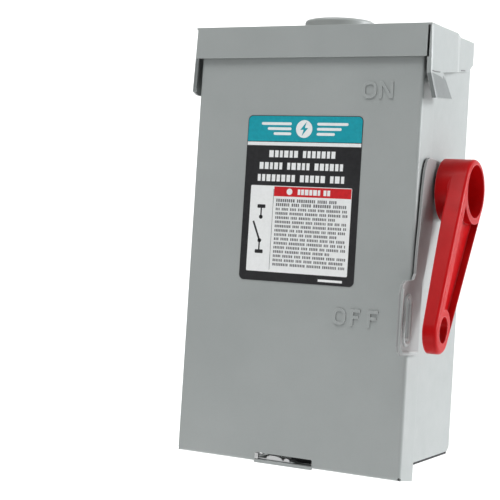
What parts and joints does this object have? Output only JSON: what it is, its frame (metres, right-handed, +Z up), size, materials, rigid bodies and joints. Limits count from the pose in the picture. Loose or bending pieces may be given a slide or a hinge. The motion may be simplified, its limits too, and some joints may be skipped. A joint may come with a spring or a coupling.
{
  "type": "fusible safety disconnect switch",
  "caption": "Rain-tight wall box with a top-hung cover, hood, side throw handle with padlock bracket, and a fused knife-blade switch inside.",
  "frame": {"origin": "centre of the back face that lies on the wall, 160 mm above the cover's bottom edge", "axes": "+Z up, +Y into the wall (the cover faces -Y), +X to the viewer's right, the handle's side"},
  "size_m": [0.2079, 0.1348, 0.3291],
  "materials": {
    "painted_steel": "semi-gloss baked enamel, light grey",
    "red_moulding": "glossy moulded red",
    "zinc_steel": "bright zinc plate",
    "spring_steel": "oiled spring wire",
    "copper": "bare copper, lightly oxidised",
    "lug_aluminium": "tin-plated",
    "black_moulding": "matt thermoset",
    "fuse_tube": "matt fibre",
    "fuse_cap": "satin brass",
    "clear_guard": "clear sheet",
    "gasket_rubber": "matt",
    "print_front": "printed vinyl",
    "print_inside": "printed paper",
    "cast_zinc": "painted casting"
  },
  "bodies": {
    "enclosure": {"enclosure_wrapper": "painted_steel", "hood": "painted_steel", "bottom_endwall": "painted_steel", "latch_keeper": "zinc_steel", "knockouts": "painted_steel", "hub_cap": "cast_zinc", "hub_gasket": "gasket_rubber", "hub_clamp_bar": "zinc_steel", "hub_clamp_screw": "zinc_steel", "hinge_pins": "painted_steel", "shaft_bush": "zinc_steel", "bush_nut": "zinc_steel", "lock_bracket": "painted_steel", "bracket_rivets": "painted_steel", "switch_base": "black_moulding", "base_screws": "zinc_steel", "line_jaws": "copper", "load_jaws": "copper", "line_lugs": "lug_aluminium", "line_lug_screws": "zinc_steel", "load_lugs": "lug_aluminium", "load_lug_screws": "zinc_steel", "fuse_base": "black_moulding", "fuse_base_screws": "zinc_steel", "upper_fuse_clips": "copper", "lower_fuse_clips": "copper", "fuse_tubes": "fuse_tube", "fuse_ferrules": "fuse_cap", "line_shield": "clear_guard", "neutral_insulator": "black_moulding", "neutral_bar": "lug_aluminium", "neutral_screws": "zinc_steel", "ground_lug": "lug_aluminium", "ground_lug_screw": "zinc_steel"},
    "cover": {"cover": "painted_steel", "cover_label": "print_front", "wiring_label": "print_inside", "interlock_catch": "zinc_steel", "latch_rivets": "zinc_steel"},
    "latch": {"latch_slide": "zinc_steel"},
    "handle": {"handle": "red_moulding", "handle_shaft": "zinc_steel", "shaft_clip": "spring_steel", "interlock_arm": "zinc_steel", "interlock_hook": "zinc_steel", "drive_spring": "spring_steel"},
    "rotor": {"rotor": "black_moulding", "switch_blades": "copper"}
  },
  "joints": [
    {"name": "cover_hinge", "type": "hinge", "parent": "enclosure", "child": "cover", "pos_m": [0, -0.0986, 0.116], "axis": [-1, 0, 0], "range_deg": [0, 98]},
    {"name": "latch_travel", "type": "slide", "parent": "cover", "child": "latch", "axis": [1, 0, 0], "range_m": [0, 0.014]},
    {"name": "handle_throw", "type": "hinge", "parent": "enclosure", "child": "handle", "pos_m": [0, -0.0636, 0.041], "axis": [-1, 0, 0], "range_deg": [0, 120]},
    {"name": "rotor_turn", "type": "hinge", "parent": "enclosure", "child": "rotor", "pos_m": [0, -0.0636, 0.041], "axis": [-1, 0, 0], "range_deg": [0, 90]}
  ],
  "couplings": [
    {"joint": "rotor_turn", "follows": "handle_throw", "ratio": 0.75}
  ]
}
